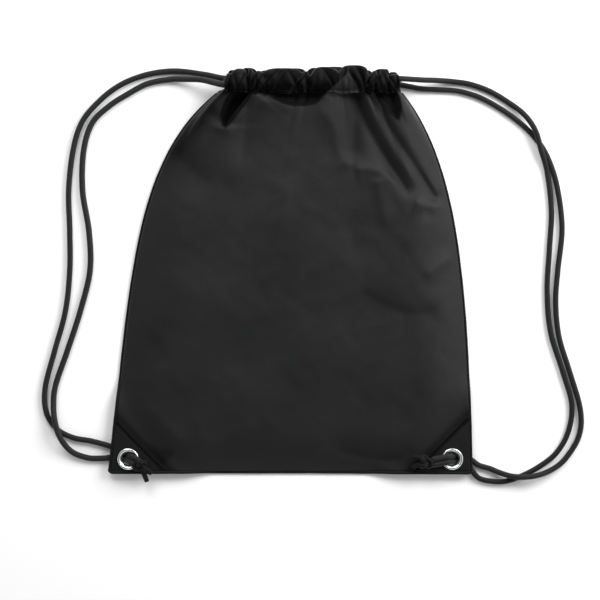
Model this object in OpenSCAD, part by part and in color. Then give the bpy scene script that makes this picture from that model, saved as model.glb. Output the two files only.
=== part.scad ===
// Drawstring backpack, lying on its back and gathered at the mouth.
// X runs across the bag, +Y towards the mouth, +Z up from the surface it lies on.
// The origin is under the middle of the bag. Sizes are in millimetres.

/* [Bag] */
// Width of the bag along its bottom seam
bag_w = 342; // [338:1:344]
// Distance from the bottom seam to the stitch row under the channels
panel_l = 356; // [354:1:357]
// Modelled thickness of one panel
cloth = 0.8; // [0.6:0.1:1.0]
// Radius of the rolled seams
seam_r = 1.5; // [1.2:0.1:1.5]

/* [Channels] */
// Width of a channel from its stitch row to the mouth's edge
channel_h = 24; // [22:1:24]
// Left end of both channels, across the bag
channel_left = -50; // [-52:1:-48]
// Right end of both channels, across the bag
channel_right = 91; // [89:1:93]
// Outer height of the sleeve that a channel forms
sleeve_t = 6.4; // [6.2:0.1:6.6]
// Wall of the sleeve
sleeve_wall = 0.5; // [0.4:0.1:0.5]
// Height of the front channel's centre above the surface
front_channel_z = 22; // [21.5:0.1:22.5]

/* [Corner patches] */
// Reach of a corner patch along the bottom seam
patch_w = 57; // [54:1:58]
// Reach of a corner patch along the side seam
patch_h = 58; // [55:1:59]
// Thickness of a corner patch
patch_t = 0.5; // [0.4:0.1:0.5]
// Underside of the back panel at the corners, where the cords pass beneath
corner_z = 6.6; // [6.5:0.1:6.7]

/* [Eyelets] */
// Distance of an eyelet's centre from the middle of the bag
eyelet_x = 151.5; // [151:0.1:152]
// Distance of an eyelet's centre below the middle of the bag
eyelet_y = 176.5; // [176:0.1:177]
// Inner radius of an eyelet
eyelet_r = 5.8; // [5.7:0.1:6.0]
// Outer radius of an eyelet's flange
flange_r = 10; // [9:0.1:10]

/* [Cords] */
// Diameter of a drawcord
cord_d = 5; // [4.6:0.1:5]
// Radius of a knot
knot_r = 6; // [5.6:0.1:6]

/* [Hidden] */
$fn = 48;

// The bag's length is shared equally above and below the origin.
bottom_y = -(panel_l + channel_h) / 2;
mouth_y = bottom_y + panel_l;
half_w = bag_w / 2;

// Control points of the two side edges, from the bottom seam to the neck.
edge_y = [bottom_y, 0, 104, mouth_y];
left_edge_x = [-half_w, -150, -147, -70];
right_edge_x = [half_w, 168, 156, 106];
edge_steps = 24;
// The panels stop short of the outline by the width of the seams.
inset = 2 * seam_r + 0.2;

// Crown of the front panel against the distance from the bottom seam, 0 to 1.
crown = [[0, 0], [0.08, 8], [0.25, 13], [0.6, 15.5], [0.85, 18.5], [1, front_channel_z - 1.3]];
// How squarely the crown fills the bag's width, at the bottom seam and at the mouth.
crown_fullness = [0.3, 0.1];
front_rows = 22;
front_columns = 24;
front_rest_z = 1.3;

// A corner's layers, from the surface up.
back_patch_z = corner_z - patch_t;
front_corner_z = corner_z + cloth;
front_patch_z = front_corner_z + cloth;
flange_z = front_patch_z + patch_t;
flange_t = 1.2;
barrel_r = eyelet_r + 0.6;
eyelet_hole_r = barrel_r + 0.1;
washer_t = 0.6;
washer_r = 9.5;
washer_z = back_patch_z - washer_t;
// Where the panels start and finish climbing to the corner, measured across the patch's edge.
back_climb = [-16, -2];
front_climb = [-32, -8];
patch_edge_l = norm([patch_w, patch_h]);

tab_w = 5;
tab_t = 2 * cloth;
stitch = [2, 0.5, 0.4];
stitch_pitch = 3;
stitch_margin = 6;
patch_stitch_margin = 10;
bartack = [2, 3.4, 0.6];

// The cords run side by side in each channel and turn from one to the other at its far end.
back_channel_z = sleeve_t / 2;
upper_lane_y = mouth_y + 14;
lower_lane_y = mouth_y + 8;
lane_y = (upper_lane_y + lower_lane_y) / 2;
turn_r = (front_channel_z - back_channel_z) / 2;
turn_bulge = 10;
channel_rings = 4;
turn_rings = 8;
cord_sides = 8;
strand_steps = 3;
end_steps = 2;

// Height of a cord's centre where it lies on the surface.
lie = 2.6;

// Free strands, from the mouth round to the bottom corner.
left_outer_route = [[-82, 184, 2.8], [-110, 187, lie], [-137, 183, lie], [-161, 173, lie], [-181, 157, lie],
    [-196, 138, lie], [-204, 112, lie], [-208, 75, lie], [-207, 37, lie], [-207, 0, lie], [-211, -38, lie],
    [-221, -75, lie], [-230, -110, lie], [-229, -133, lie], [-219, -149, lie], [-204, -157, lie],
    [-188, -160, lie]];
left_inner_route = [[-82, 177, 15], [-96, 178.5, 8], [-113, 179, 3.2], [-134, 175, lie], [-153, 165, lie],
    [-170, 154, lie], [-186, 138, lie], [-194, 112, lie], [-195, 75, lie], [-189, 37, lie], [-188, 0, lie],
    [-197, -38, lie], [-209, -75, lie], [-220, -107, lie], [-222, -126, 4.4], [-220, -142, 8.2],
    [-215, -157, 8.2], [-205, -170, 4.2], [-190, -176, lie]];
right_inner_route = [[122, 179, 15], [136, 179, 8], [152, 178, 3.2], [169, 175, lie], [187, 168, lie],
    [204, 158, lie], [219, 146, 5.4], [229, 131, 8.2], [235, 112, 6.4], [241, 92, 3], [245, 56, lie],
    [243, 18, lie], [241, -19, lie], [244, -57, lie], [255, -93, lie], [264, -125, lie], [261, -151, lie],
    [250, -171, lie], [234, -184, lie], [217, -193, lie], [202, -198, lie], [189, -198, lie]];
right_outer_route = [[122, 171, 2.8], [138, 170, lie], [158, 168.5, lie], [178, 162, lie], [198, 151, lie],
    [216, 138, lie], [230, 124, lie], [241, 107, lie], [250, 80, lie], [255, 40, lie], [251, 0, lie],
    [249, -30, lie], [252, -62, lie], [262, -95, lie], [272, -130, lie], [271, -155, lie], [258, -177, lie],
    [243, -188, 4.4], [226, -193, 8.2], [209, -193, 8.2], [197, -190, 4.4], [187, -186, lie]];

// Ends of the cords, from under the bag's corner up through the eyelet to the knot.
left_upper_end = [[-176, -163, lie], [-167, -166, lie], [-158, -170.7, lie], [-154.3, -172.1, 3.4],
    [-152, -172.9, 5.1], [-150.1, -173.6, 7.5], [-148.2, -174.3, 9.9], [-145.9, -175.1, 11.7],
    [-142, -177, 12.8], [-140.5, -178.6, 13.4]];
left_lower_end = [[-176, -176.5, lie], [-168, -175.6, lie], [-160, -175.5, lie], [-156.1, -176.9, 3.4],
    [-153.8, -177.7, 5.1], [-151.9, -178.4, 7.5], [-150, -179.1, 9.9], [-147.7, -180, 11.7],
    [-144.6, -181.8, 13]];
right_upper_end = [[177, -183, lie], [169, -177.5, lie], [160, -174.2, lie], [156, -173.9, 3.4],
    [153.5, -173.9, 5.1], [151.5, -173.9, 7.5], [149.5, -173.9, 9.9], [147, -174, 11.7],
    [141, -175, 12.6], [132.5, -176.6, 13.4]];
right_lower_end = [[177, -195, lie], [169, -186.5, lie], [161, -180.2, lie], [156, -179.1, 3.4],
    [153.5, -179.1, 5.1], [151.5, -179.1, 7.5], [149.5, -179.1, 9.9], [147, -179.2, 11.7],
    [141, -180.4, 12.6], [132.5, -181.8, 13.4]];

knot_z = flange_z + knot_r + 0.5;
left_knot_at = [-139, -184, knot_z];
right_knot_at = [127, -179, knot_z];
left_tails = [[[-139, -184, 13.5], [-136, -191, 12.6], [-134, -197, 10]],
    [[-139, -184, 15.5], [-132, -188, 14.5], [-127, -194, 12]]];
right_tails = [[[127, -179, 14], [120, -181, 13], [114, -184.5, 11.6]],
    [[127, -179, 15.5], [121, -175, 15], [115, -174, 13]]];

function bezier(c, t) =
    pow(1 - t, 3) * c[0] + 3 * t * pow(1 - t, 2) * c[1] + 3 * t * t * (1 - t) * c[2] + pow(t, 3) * c[3];
function ease(t) = t <= 0 ? 0 : t >= 1 ? 1 : t * t * (3 - 2 * t);
function mix(a, b, t) = a + (b - a) * t;
function unit(v) = v / norm(v);

// Distance past the patch's diagonal edge, towards the corner.
function past_patch_edge(x, y) =
    ((abs(x) - half_w + patch_w) * patch_h - (y - bottom_y) * patch_w) / patch_edge_l;
function climb(x, y, span) = ease((past_patch_edge(x, y) - span[0]) / (span[1] - span[0]));

// Centre height of the front panel at t across and v along the bag.
function front_z(x, y, t, v) =
    let (fullness = mix(crown_fullness[0], crown_fullness[1], v),
        crowned = front_rest_z + lookup(v, crown) * pow(max(sin(180 * t), 0), fullness))
    mix(crowned, front_corner_z + cloth / 2, climb(x, y, front_climb));
function seam_z(x, y) = mix(seam_r + 0.1, front_corner_z, climb(x, y, front_climb));

// A smooth curve through the points, as a list with a few points to each span.
function spline_point(a, b, c, d, t) =
    0.5 * (2 * b + (c - a) * t + (2 * a - 5 * b + 4 * c - d) * t * t + (3 * b - a - 3 * c + d) * t * t * t);
function spline(p, steps) = let (n = len(p) - 1)
    concat([for (i = [0 : n - 1], k = [0 : steps - 1])
        spline_point(i > 0 ? p[i - 1] : 2 * p[0] - p[1], p[i], p[i + 1],
            i + 2 <= n ? p[i + 2] : 2 * p[n] - p[n - 1], k / steps)], [p[n]]);

// A round tube through the points, with a ring at each of them.
function along(p, i) = unit(p[min(i + 1, len(p) - 1)] - p[max(i - 1, 0)]);
function ring(p, i, r, sides, up) = let (t = along(p, i), a = unit(cross(up, t)), b = cross(t, a))
    [for (k = [0 : sides - 1]) p[i] + r * (cos(360 * k / sides) * a + sin(360 * k / sides) * b)];
module tube(p, r, sides = cord_sides, up = [0, 0, 1]) {
    last = len(p) - 1;
    polyhedron(
        points = [for (i = [0 : last]) each ring(p, i, r, sides, up)],
        faces = concat(
            [[for (k = [0 : sides - 1]) k]],
            [for (i = [0 : last - 1], k = [0 : sides - 1]) let (m = (k + 1) % sides)
                [i * sides + k, (i + 1) * sides + k, (i + 1) * sides + m, i * sides + m]],
            [[for (k = [sides - 1 : -1 : 0]) last * sides + k]]));
}

// The bag's outline, drawn in by a margin on its sides and bottom.
function outline(margin) = let (row = [for (i = [0 : edge_steps]) i / edge_steps])
    concat([for (t = row) [bezier(left_edge_x, t) + margin, max(bezier(edge_y, t), bottom_y + margin)]],
        [for (i = [edge_steps : -1 : 0]) let (t = i / edge_steps)
            [bezier(right_edge_x, t) - margin, max(bezier(edge_y, t), bottom_y + margin)]]);

// Places its children at the right or left corner: X crosses the patch's edge, Y runs along it.
module at_corner(side) {
    mirror([side < 0 ? 1 : 0, 0, 0])
        translate([half_w - patch_w, bottom_y, 0])
            rotate([0, 0, -atan2(patch_w, patch_h)])
                children();
}

// A slab with the given section across the patch's edge, as long as the corner.
module corner_slab(side, section) {
    at_corner(side)
        translate([0, 2 * patch_h, 0])
            rotate([90, 0, 0])
                linear_extrude(3 * patch_h) polygon(section);
}

module eyelet_holes() {
    for (side = [-1, 1])
        translate([side * eyelet_x, -eyelet_y, 0]) cylinder(r = eyelet_hole_r, h = 3 * corner_z);
}

module patch(side, z) {
    reach = patch_w + patch_h;
    color("#26282b") difference() {
        intersection() {
            linear_extrude(3 * corner_z) polygon(outline(inset));
            corner_slab(side, [[0, z], [reach, z], [reach, z + patch_t], [0, z + patch_t]]);
        }
        eyelet_holes();
    }
}

module back_panel() {
    reach = patch_w + patch_h;
    start = back_climb[0];
    top = back_climb[1];
    color("#222427") difference() {
        union() {
            difference() {
                linear_extrude(cloth) polygon(outline(inset));
                for (side = [-1, 1])
                    corner_slab(side, [[start, -1], [reach, -1], [reach, 2], [start, 2]]);
            }
            for (side = [-1, 1])
                intersection() {
                    linear_extrude(3 * corner_z) polygon(outline(inset));
                    corner_slab(side, [[start, 0], [top, corner_z], [reach, corner_z],
                        [reach, corner_z + cloth], [top, corner_z + cloth], [start, cloth]]);
                }
        }
        eyelet_holes();
    }
}

// The front panel is a thin crowned sheet over a grid of rows and columns.
module front_panel() {
    rows = front_rows;
    columns = front_columns;
    count = (rows + 1) * (columns + 1);
    across = [for (j = [0 : columns]) (1 - cos(180 * j / columns)) / 2];
    grid = [for (i = [0 : rows], j = [0 : columns])
        let (t = i / rows,
            y = max(bezier(edge_y, t), bottom_y + inset),
            x = mix(bezier(left_edge_x, t) + inset, bezier(right_edge_x, t) - inset, across[j]))
        [x, y, front_z(x, y, across[j], (y - bottom_y) / panel_l)]];
    function top_at(i, j) = i * (columns + 1) + j;
    function low_at(i, j) = count + top_at(i, j);
    color("#2a2c2f") difference() {
        polyhedron(
            points = concat([for (p = grid) p + [0, 0, cloth / 2]], [for (p = grid) p - [0, 0, cloth / 2]]),
            faces = concat(
                [for (i = [0 : rows - 1], j = [0 : columns - 1])
                    each [[top_at(i, j), top_at(i + 1, j), top_at(i + 1, j + 1)],
                        [top_at(i, j), top_at(i + 1, j + 1), top_at(i, j + 1)],
                        [low_at(i, j), low_at(i + 1, j + 1), low_at(i + 1, j)],
                        [low_at(i, j), low_at(i, j + 1), low_at(i + 1, j + 1)]]],
                [for (j = [0 : columns - 1])
                    each [[low_at(0, j), top_at(0, j), top_at(0, j + 1), low_at(0, j + 1)],
                        [low_at(rows, j), low_at(rows, j + 1), top_at(rows, j + 1), top_at(rows, j)]]],
                [for (i = [0 : rows - 1])
                    each [[low_at(i + 1, 0), top_at(i + 1, 0), top_at(i, 0), low_at(i, 0)],
                        [low_at(i, columns), top_at(i, columns), top_at(i + 1, columns),
                            low_at(i + 1, columns)]]]));
        eyelet_holes();
    }
}

// A flattened oval, the section of a sleeve, from the tab to the mouth's edge.
module oval(r) {
    first = tab_w - 1 + sleeve_t / 2;
    last = channel_h - sleeve_t / 2;
    translate([first, -r]) square([last - first, 2 * r]);
    translate([first, 0]) circle(r);
    translate([last, 0]) circle(r);
}

// A channel is a sleeve sewn to its panel along a flat tab.
module channel(z, tab_z) {
    translate([channel_left, mouth_y, z])
        rotate([90, 0, 90])
            linear_extrude(channel_right - channel_left)
                difference() {
                    union() {
                        translate([0, tab_z]) square([tab_w + sleeve_t / 2, tab_t]);
                        oval(sleeve_t / 2);
                    }
                    oval(sleeve_t / 2 - sleeve_wall);
                }
}

module back_channel() {
    color("#222427") channel(back_channel_z, -back_channel_z);
}

module front_channel() {
    color("#2a2c2f") channel(front_channel_z, -tab_t / 2);
}

module side_seam(edge, toward) {
    color("#1d1f21")
        tube([for (i = [0 : edge_steps]) let (t = mix(0.012, 1, i / edge_steps),
                x = bezier(edge, t) + toward * seam_r, y = bezier(edge_y, t))
            [x, y, seam_z(x, y)]], seam_r);
}

module left_side_seam() {
    side_seam(left_edge_x, 1);
}

module right_side_seam() {
    side_seam(right_edge_x, -1);
}

module bottom_seam() {
    reach = half_w - 2 * seam_r - 0.5;
    color("#1d1f21")
        tube([for (i = [0 : edge_steps]) let (x = mix(-reach, reach, i / edge_steps), y = bottom_y + seam_r)
            [x, y, seam_z(x, y)]], seam_r);
}

module left_patch_back() {
    patch(-1, back_patch_z);
}

module left_patch_front() {
    patch(-1, front_patch_z);
}

module right_patch_back() {
    patch(1, back_patch_z);
}

module right_patch_front() {
    patch(1, front_patch_z);
}

// An eyelet: a barrel through the corner's layers, with a rounded flange on top.
module eyelet(side) {
    roll = flange_t / 2;
    color("#c9ccd0")
        translate([side * eyelet_x, -eyelet_y, 0])
            rotate_extrude() {
                translate([eyelet_r, washer_z]) square([barrel_r - eyelet_r, flange_z - washer_z + roll]);
                translate([eyelet_r, flange_z]) square([flange_r - roll - eyelet_r, flange_t]);
                translate([flange_r - roll, flange_z + roll]) circle(roll);
            }
}

module left_eyelet() {
    eyelet(-1);
}

module right_eyelet() {
    eyelet(1);
}

module eyelet_washer(side) {
    color("#b9bcc0")
        translate([side * eyelet_x, -eyelet_y, washer_z])
            difference() {
                cylinder(r = washer_r, h = washer_t);
                translate([0, 0, -1]) cylinder(r = barrel_r, h = washer_t + 2);
            }
}

module left_eyelet_washer() {
    eyelet_washer(-1);
}

module right_eyelet_washer() {
    eyelet_washer(1);
}

// Bar tacks hold both channels' tabs at one end.
module bartacks(x) {
    color("#1b1c1e") {
        translate([x, mouth_y + 0.3, front_channel_z + tab_t / 2]) cube(bartack);
        translate([x, mouth_y + 0.3, tab_t]) cube(bartack);
    }
}

module left_channel_bartacks() {
    bartacks(channel_left + 1);
}

module right_channel_bartacks() {
    bartacks(channel_right - 1 - bartack[0]);
}

module stitch_row(z) {
    color("#17181a")
        for (x = [channel_left + stitch_margin : stitch_pitch : channel_right - stitch_margin - stitch[0]])
            translate([x, mouth_y + 1.6, z]) cube(stitch);
}

module front_channel_stitching() {
    stitch_row(front_channel_z + tab_t / 2);
}

module back_channel_stitching() {
    stitch_row(tab_t);
}

module patch_stitching(side) {
    color("#17181a")
        at_corner(side)
            for (y = [patch_stitch_margin : stitch_pitch : patch_edge_l - 2 * patch_stitch_margin])
                translate([3, y, flange_z]) cube([stitch[1], stitch[0], stitch[2]]);
}

module left_patch_stitching() {
    patch_stitching(-1);
}

module right_patch_stitching() {
    patch_stitching(1);
}

// A cord's run through the back channel, round the far end and back through the front one.
// It starts and ends just outside the channels at the near end.
function channel_run(near, far, back_y, front_y) = let (away = sign(near - far), out = near + 12 * away)
    concat([[out, back_y, back_channel_z]],
        [for (i = [0 : channel_rings]) [mix(near, far, i / channel_rings), back_y, back_channel_z]],
        [for (i = [1 : turn_rings - 1]) let (a = 180 * i / turn_rings - 90)
            [far - away * turn_bulge * cos(a), mix(back_y, front_y, (1 + sin(a)) / 2),
                back_channel_z + turn_r * (1 + sin(a))]],
        [for (i = [0 : channel_rings]) [mix(far, near, i / channel_rings), front_y, front_channel_z]],
        [[out, front_y, front_channel_z]]);

module cord_run(near, far, back_y, front_y) {
    color("#303236") tube(channel_run(near, far, back_y, front_y), cord_d / 2, up = [0, 1, 0]);
}

module left_cord_in_channel() {
    cord_run(channel_left, channel_right, upper_lane_y, lower_lane_y);
}

module right_cord_in_channel() {
    cord_run(channel_right, channel_left, lower_lane_y, upper_lane_y);
}

module strand(route, steps = strand_steps) {
    color("#303236") tube(spline(route, steps), cord_d / 2);
}

module left_cord_end() {
    strand(left_upper_end, end_steps);
    strand(left_lower_end, end_steps);
}

module right_cord_end() {
    strand(right_upper_end, end_steps);
    strand(right_lower_end, end_steps);
}

module knot(at, tails) {
    color("#2c2e31") {
        translate(at) sphere(knot_r);
        for (tail = tails)
            strand(tail, end_steps);
    }
}

module left_knot() {
    knot(left_knot_at, left_tails);
}

module right_knot() {
    knot(right_knot_at, right_tails);
}

module left_strap_outer_strand() {
    strand(left_outer_route);
}

module left_strap_inner_strand() {
    strand(left_inner_route);
}

module right_strap_outer_strand() {
    strand(right_outer_route);
}

module right_strap_inner_strand() {
    strand(right_inner_route);
}

back_panel();
front_panel();
back_channel();
front_channel();
left_side_seam();
right_side_seam();
bottom_seam();
left_patch_back();
left_patch_front();
right_patch_back();
right_patch_front();
left_eyelet();
right_eyelet();
left_eyelet_washer();
right_eyelet_washer();
left_channel_bartacks();
right_channel_bartacks();
front_channel_stitching();
back_channel_stitching();
left_patch_stitching();
right_patch_stitching();
left_cord_in_channel();
right_cord_in_channel();
left_cord_end();
right_cord_end();
left_knot();
right_knot();
left_strap_outer_strand();
left_strap_inner_strand();
right_strap_outer_strand();
right_strap_inner_strand();
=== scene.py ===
"""Looks of a black nylon drawstring backpack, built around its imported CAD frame."""

import logging
import math
from dataclasses import dataclass, field
from enum import Enum

import bmesh
import bpy
import numpy as np
from mathutils import Matrix, Vector


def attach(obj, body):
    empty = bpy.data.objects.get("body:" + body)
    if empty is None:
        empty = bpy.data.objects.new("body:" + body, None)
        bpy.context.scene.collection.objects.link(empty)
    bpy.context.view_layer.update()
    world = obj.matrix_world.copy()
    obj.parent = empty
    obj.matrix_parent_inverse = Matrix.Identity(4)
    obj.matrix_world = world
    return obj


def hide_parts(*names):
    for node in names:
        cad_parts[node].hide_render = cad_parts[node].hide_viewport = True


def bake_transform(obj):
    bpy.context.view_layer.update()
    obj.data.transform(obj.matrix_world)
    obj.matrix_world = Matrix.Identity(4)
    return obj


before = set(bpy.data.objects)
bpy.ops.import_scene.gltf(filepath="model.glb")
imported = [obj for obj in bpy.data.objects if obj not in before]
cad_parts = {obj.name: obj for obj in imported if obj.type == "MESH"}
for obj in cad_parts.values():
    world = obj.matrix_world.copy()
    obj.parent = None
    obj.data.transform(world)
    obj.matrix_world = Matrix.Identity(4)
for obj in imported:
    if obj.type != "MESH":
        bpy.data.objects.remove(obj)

LOG = logging.getLogger("backpack")
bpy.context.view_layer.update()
MM = 0.001

Array = np.ndarray
BMesh = bmesh.types.BMesh
Object = bpy.types.Object
Socket = bpy.types.NodeSocket
Point = tuple[float, float, float]
Spot = tuple[float, float]

LIE = 2.6
BACK_CORD_Z = 3.2
FRONT_CORD_Z = 22.0


def lying(*points: tuple[float, ...]) -> list[Point]:
    """Points of a cord, at the height of one that lies on the floor where none is given."""
    return [(*point, LIE)[:3] for point in points]


LEFT_OUTER = lying(
    (-82, 184, 2.8), (-110, 187), (-137, 183), (-161, 173), (-181, 157), (-196, 138), (-204, 112), (-208, 75),
    (-207, 37), (-207, 0), (-211, -38), (-221, -75), (-230, -110), (-229, -133), (-219, -149), (-204, -157),
    (-188, -160))
LEFT_INNER = lying(
    (-82, 177, 15), (-96, 178.5, 8), (-113, 179, 3.2), (-134, 175), (-153, 165), (-170, 154), (-186, 138),
    (-194, 112), (-195, 75), (-189, 37), (-188, 0), (-197, -38), (-209, -75), (-220, -107), (-222, -126, 4.4),
    (-220, -142, 8.2), (-215, -157, 8.2), (-205, -170, 4.2), (-190, -176))
RIGHT_INNER = lying(
    (122, 177, 15), (136, 177.5, 8), (152, 177, 3.2), (169, 174.5), (187, 168), (204, 158), (219, 146, 5.4),
    (229, 131, 8.2), (235, 112, 6.4), (241, 92, 3), (245, 56), (243, 18), (241, -19), (244, -57), (255, -93),
    (264, -125), (261, -151), (250, -171), (234, -184), (217, -193), (202, -198), (189, -198))
RIGHT_OUTER = lying(
    (122, 170.5, 2.8), (138, 169.5), (158, 168), (178, 162), (198, 151), (216, 138), (230, 124), (241, 107),
    (250, 80), (255, 40), (251, 0), (249, -30), (252, -62), (262, -95), (272, -130), (271, -155), (258, -177),
    (243, -188, 4.4), (226, -193, 8.2), (209, -193, 8.2), (197, -190, 4.4), (187, -186))
LEFT_UPPER_END = lying(
    (-176, -163), (-167, -166), (-158, -170.7), (-154.3, -172.1, 3.4), (-152, -172.9, 5.1),
    (-150.1, -173.6, 7.5), (-148.2, -174.3, 9.9), (-145.9, -175.1, 11.7), (-142, -177, 12.8),
    (-140.5, -178.6, 13.4))
LEFT_LOWER_END = lying(
    (-176, -176.5), (-168, -175.6), (-160, -175.5), (-156.1, -176.9, 3.4), (-153.8, -177.7, 5.1),
    (-151.9, -178.4, 7.5), (-150, -179.1, 9.9), (-147.7, -180, 11.7), (-144.6, -181.8, 13))
RIGHT_UPPER_END = lying(
    (177, -183), (169, -177.5), (160, -174.2), (156, -173.9, 3.4), (153.5, -173.9, 5.1), (151.5, -173.9, 7.5),
    (149.5, -173.9, 9.9), (147, -174, 11.7), (141, -175, 12.6), (132.5, -176.6, 13.4))
RIGHT_LOWER_END = lying(
    (177, -195), (169, -186.5), (161, -180.2), (156, -179.1, 3.4), (153.5, -179.1, 5.1), (151.5, -179.1, 7.5),
    (149.5, -179.1, 9.9), (147, -179.2, 11.7), (141, -180.4, 12.6), (132.5, -181.8, 13.4))
LEFT_TAILS: list[list[Point]] = [
    [(-139, -184, 13.5), (-136, -191, 12.6), (-134, -197, 10)],
    [(-139, -184, 15.5), (-134, -185.5, 15), (-129.5, -189.5, 13)]]
RIGHT_TAILS: list[list[Point]] = [
    [(127, -179, 14), (120, -181, 13), (114, -184.5, 11.6)],
    [(127, -179, 15.5), (121, -175, 15), (115, -174, 13)]]


def bezier(control: tuple[float, ...], t: Array) -> Array:
    """Cubic curve through four control values.

    Args:
        control: the four control values.
        t: places along the curve, 0 to 1.

    Returns:
        The values there.
    """
    a, b, c, d = control
    s = 1 - t
    return s ** 3 * a + 3 * t * s ** 2 * b + 3 * t ** 2 * s * c + t ** 3 * d


def ease(t: Array) -> Array:
    """Smooth step from 0 to 1 over t = 0 to 1."""
    t = np.clip(t, 0, 1)
    return t * t * (3 - 2 * t)


def bell(t: Array) -> Array:
    """A bell curve, 1 at t = 0 and near 0 past t = 2."""
    return np.exp(-t ** 2)


def mix(a: Array, b: Array, t: Array) -> Array:
    """Straight blend from a to b."""
    return a + (b - a) * t


def spline(points: list[Point], step: float) -> Array:
    """Smooth curve through the points, sampled about every step.

    Args:
        points: the points that it passes through.
        step: distance between samples.

    Returns:
        The samples, one row each.
    """
    p = np.array(points, float)
    p = np.vstack([2 * p[0] - p[1], p, 2 * p[-1] - p[-2]])
    fine = []
    t = np.linspace(0, 1, 24, endpoint=False)[:, None]
    for a, b, c, d in zip(p, p[1:], p[2:], p[3:]):
        cubic = (3 * b - a - 3 * c + d) * t ** 3
        fine.append(0.5 * (2 * b + (c - a) * t + (2 * a - 5 * b + 4 * c - d) * t * t + cubic))
    fine.append(p[-2][None])
    line = np.vstack(fine)
    run = lengths(line)
    at = np.linspace(0, run[-1], max(2, round(run[-1] / step)) + 1)
    return np.column_stack([np.interp(at, run, line[:, k]) for k in range(3)])


def ripples(x: Array, y: Array, seed: int, size: float, waves: int = 14) -> Array:
    """Smooth random relief made of crossed sine waves.

    Args:
        x: places across.
        y: places along.
        seed: fixes the random draw.
        size: the typical wavelength.
        waves: how many waves are summed.

    Returns:
        Heights, mostly between -1 and 1.
    """
    draw = np.random.default_rng(seed)
    total = np.zeros_like(x, dtype=float)
    for _ in range(waves):
        turn = draw.uniform(0, 2 * math.pi)
        length = size * draw.uniform(0.6, 1.6)
        phase = draw.uniform(0, 2 * math.pi)
        total += np.sin((x * math.cos(turn) + y * math.sin(turn)) * 2 * math.pi / length + phase)
    return total / math.sqrt(waves)


# ---------------------------------------------------------------- finishes


class Nodes:
    """A node tree, with short calls to add and link nodes."""

    def __init__(self, tree: bpy.types.NodeTree) -> None:
        """Takes the tree to work on."""
        self.tree = tree

    def add(self, kind: str, inputs: dict | None = None, **settings: object) -> bpy.types.Node:
        """Adds a node.

        Args:
            kind: the node's type name.
            inputs: socket name or number to a constant or to another node's output.
            settings: attributes of the node.

        Returns:
            The node.
        """
        node = self.tree.nodes.new(kind)
        for key, value in settings.items():
            setattr(node, key, value)
        self.feed(node, inputs or {})
        return node

    def feed(self, node: bpy.types.Node, inputs: dict) -> None:
        """Sets the node's sockets to constants, or links them to outputs."""
        for key, value in inputs.items():
            if isinstance(value, Socket):
                self.tree.links.new(value, node.inputs[key])
            else:
                node.inputs[key].default_value = value

    def math(self, operation: str, a: object, b: object = 0.0) -> Socket:
        """A Math node's result."""
        return self.add("ShaderNodeMath", {0: a, 1: b}, operation=operation).outputs[0]

    def span(self, value: object, ends: tuple[float, ...], **settings: object) -> Socket:
        """The value, moved from the first two ends to the last two."""
        return self.add("ShaderNodeMapRange", {0: value, **dict(enumerate(ends, 1))}, **settings).outputs[0]

    def noise(self, place: object, scale: float, detail: float, roughness: float = 0.5,
              distortion: float = 0.0) -> Socket:
        """A noise texture's value at each place."""
        return self.add("ShaderNodeTexNoise", {"Vector": place, "Scale": scale, "Detail": detail,
                                               "Roughness": roughness, "Distortion": distortion}).outputs[0]

    def bump(self, height: object, distance: float, strength: float, **more: object) -> Socket:
        """The normal of a surface with the given relief."""
        return self.add("ShaderNodeBump", {"Height": height, "Distance": distance, "Strength": strength,
                                           **more}).outputs[0]

    def ramp(self, factor: object, stops: tuple[tuple[float, tuple], ...]) -> Socket:
        """A colour ramp over factor, with two stops."""
        node = self.add("ShaderNodeValToRGB", {0: factor})
        for element, (place, colour) in zip(node.color_ramp.elements, stops):
            element.position = place
            element.color = (*colour, 1)
        return node.outputs[0]


class Graph(Nodes):
    """A material's node tree."""

    def __init__(self, name: str) -> None:
        """Starts an empty material with a Principled shader."""
        self.material = bpy.data.materials.new(name)
        self.material.use_nodes = True
        super().__init__(self.material.node_tree)

    def shade(self, inputs: dict) -> "Graph":
        """Feeds the Principled shader, and gives back the graph."""
        self.feed(self.tree.nodes["Principled BSDF"], inputs)
        return self

    def dress(self, obj: Object) -> None:
        """Gives the object this material alone."""
        obj.data.materials.clear()
        obj.data.materials.append(self.material)


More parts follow.
